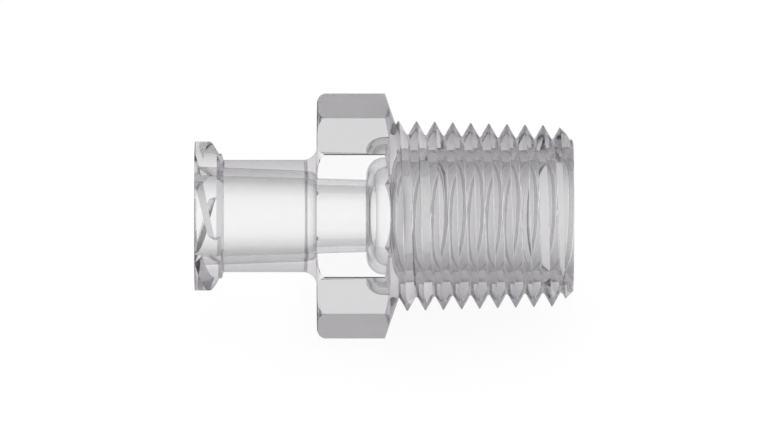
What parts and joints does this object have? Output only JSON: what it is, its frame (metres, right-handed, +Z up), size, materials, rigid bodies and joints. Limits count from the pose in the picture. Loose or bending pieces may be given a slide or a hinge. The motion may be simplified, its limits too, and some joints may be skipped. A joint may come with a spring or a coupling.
{
  "type": "luer adapter",
  "caption": "Clear plastic adapter with a female luer lock socket, a hexagon collar and a male taper pipe thread with a wide bore.",
  "frame": {"origin": "centre of the bounding box in plan, at the height of the hexagon flat that it lies on", "axes": "+X along the axis from the luer mouth to the thread end, +Z up, the lowest hexagon flat on z = 0"},
  "size_m": [0.0196, 0.0128, 0.011],
  "materials": {
    "clear_plastic": "smooth moulded clear plastic with a faint grey tint"
  },
  "bodies": {
    "root": {"adapter_body": "clear_plastic"}
  },
  "joints": []
}
